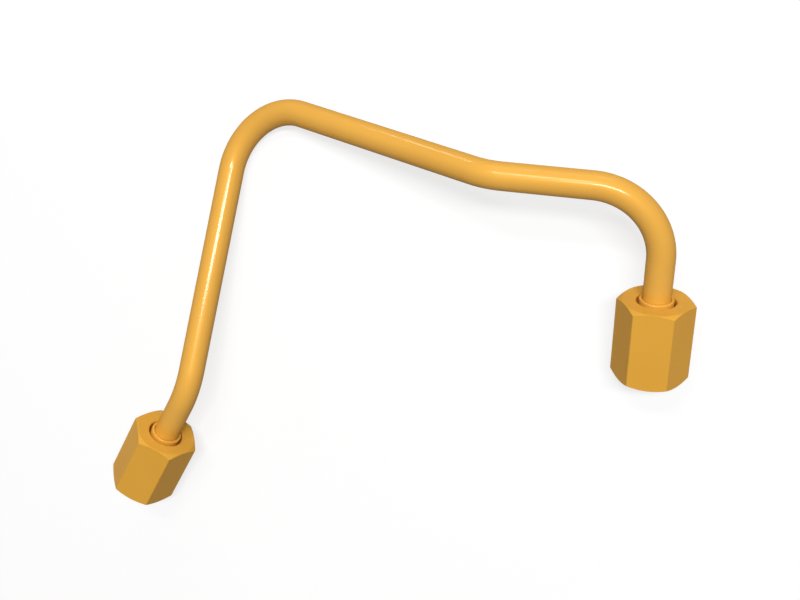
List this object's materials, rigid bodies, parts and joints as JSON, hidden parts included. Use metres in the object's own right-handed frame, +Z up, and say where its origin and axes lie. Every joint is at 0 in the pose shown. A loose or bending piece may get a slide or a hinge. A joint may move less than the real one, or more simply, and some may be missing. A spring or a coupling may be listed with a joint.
{
  "type": "bent tube assembly",
  "caption": "Rigid high-pressure steel line: a thick-walled tube bent in several planes, with a hexagonal union nut that turns and slides on a sleeve at each end.",
  "frame": {"origin": "On the surface that the line lies on, under the middle of its box", "axes": "+X from the left nut to the right nut, along the longest side; +Y from the nuts towards the second bend; +Z up from the surface"},
  "size_m": [0.1958, 0.113, 0.0339],
  "materials": {
    "line_paint": "gloss",
    "sleeve_paint": "gloss",
    "nut_paint": "satin"
  },
  "bodies": {
    "line": {"tube": "line_paint"},
    "left_sleeve": {"left_sleeve": "sleeve_paint"},
    "left_nut": {"left_nut": "nut_paint"},
    "right_sleeve": {"right_sleeve": "sleeve_paint"},
    "right_nut": {"right_nut": "nut_paint"}
  },
  "joints": [
    {"name": "left_sleeve_slide", "type": "slide", "parent": "line", "child": "left_sleeve", "axis": [0.7539, 0.6126, 0.2373], "range_m": [0, 0.0119]},
    {"name": "left_nut_spin", "type": "hinge", "parent": "left_sleeve", "child": "left_nut", "pos_m": [-0.087, -0.04547, 0.01149], "axis": [-0.7539, -0.6126, -0.2373], "continuous": true},
    {"name": "right_sleeve_slide", "type": "slide", "parent": "line", "child": "right_sleeve", "axis": [0.3563, 0.8813, 0.3103], "range_m": [0, 0.0112]},
    {"name": "right_nut_spin", "type": "hinge", "parent": "right_sleeve", "child": "right_nut", "pos_m": [0.08154, -0.04617, 0.01086], "axis": [-0.3563, -0.8813, -0.3103], "continuous": true}
  ]
}
